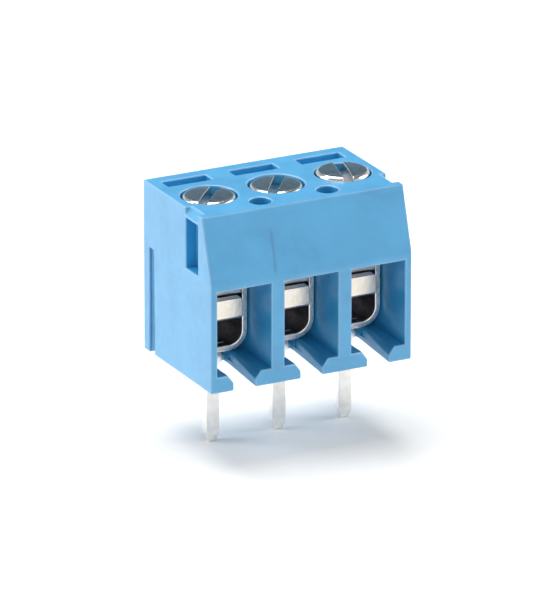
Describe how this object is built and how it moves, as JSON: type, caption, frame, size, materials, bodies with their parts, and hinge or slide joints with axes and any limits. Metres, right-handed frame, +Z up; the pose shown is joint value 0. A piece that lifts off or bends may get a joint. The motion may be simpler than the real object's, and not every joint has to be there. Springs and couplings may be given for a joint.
{
  "type": "pcb screw terminal block",
  "caption": "Small light-blue screw terminal block for circuit boards, with rising clamp cages behind square wire openings, slotted top screws and straight solder pins.",
  "frame": {"origin": "centre of the housing's underside, the face that sits on the circuit board, on the line of the solder pins", "axes": "+X along the row of poles to the right as seen from the wire side, -Y towards the wire side, +Z up away from the board"},
  "size_m": [0.0107, 0.007, 0.0123],
  "materials": {
    "housing_plastic": "satin moulded polyamide, light blue",
    "screw_zinc": "bright zinc plated steel",
    "cage_nickel": "nickel plated steel, satin",
    "pin_tin": "tin plated brass, satin silver"
  },
  "bodies": {
    "block": {"housing": "housing_plastic", "pin_1": "pin_tin", "pin_2": "pin_tin", "pin_3": "pin_tin"},
    "screw_1": {"screw_1": "screw_zinc"},
    "screw_2": {"screw_2": "screw_zinc"},
    "screw_3": {"screw_3": "screw_zinc"},
    "cage_1": {"cage_1": "cage_nickel"},
    "cage_2": {"cage_2": "cage_nickel"},
    "cage_3": {"cage_3": "cage_nickel"}
  },
  "joints": [
    {"name": "screw_1_turn", "type": "hinge", "parent": "block", "child": "screw_1", "pos_m": [-0.0035, 0.00015, 0.0084], "axis": [0, 0, -1], "range_deg": [0, 810]},
    {"name": "cage_1_lift", "type": "slide", "parent": "block", "child": "cage_1", "axis": [0, 0, 1], "range_m": [0, 0.0009]},
    {"name": "screw_2_turn", "type": "hinge", "parent": "block", "child": "screw_2", "pos_m": [0, 0.00015, 0.0084], "axis": [0, 0, -1], "range_deg": [0, 810]},
    {"name": "cage_2_lift", "type": "slide", "parent": "block", "child": "cage_2", "axis": [0, 0, 1], "range_m": [0, 0.0009]},
    {"name": "screw_3_turn", "type": "hinge", "parent": "block", "child": "screw_3", "pos_m": [0.0035, 0.00015, 0.0084], "axis": [0, 0, -1], "range_deg": [0, 810]},
    {"name": "cage_3_lift", "type": "slide", "parent": "block", "child": "cage_3", "axis": [0, 0, 1], "range_m": [0, 0.0009]}
  ],
  "couplings": [
    {"joint": "screw_1_turn", "follows": "cage_1_lift", "rad_per_m": 15708},
    {"joint": "screw_2_turn", "follows": "cage_2_lift", "rad_per_m": 15708},
    {"joint": "screw_3_turn", "follows": "cage_3_lift", "rad_per_m": 15708}
  ]
}
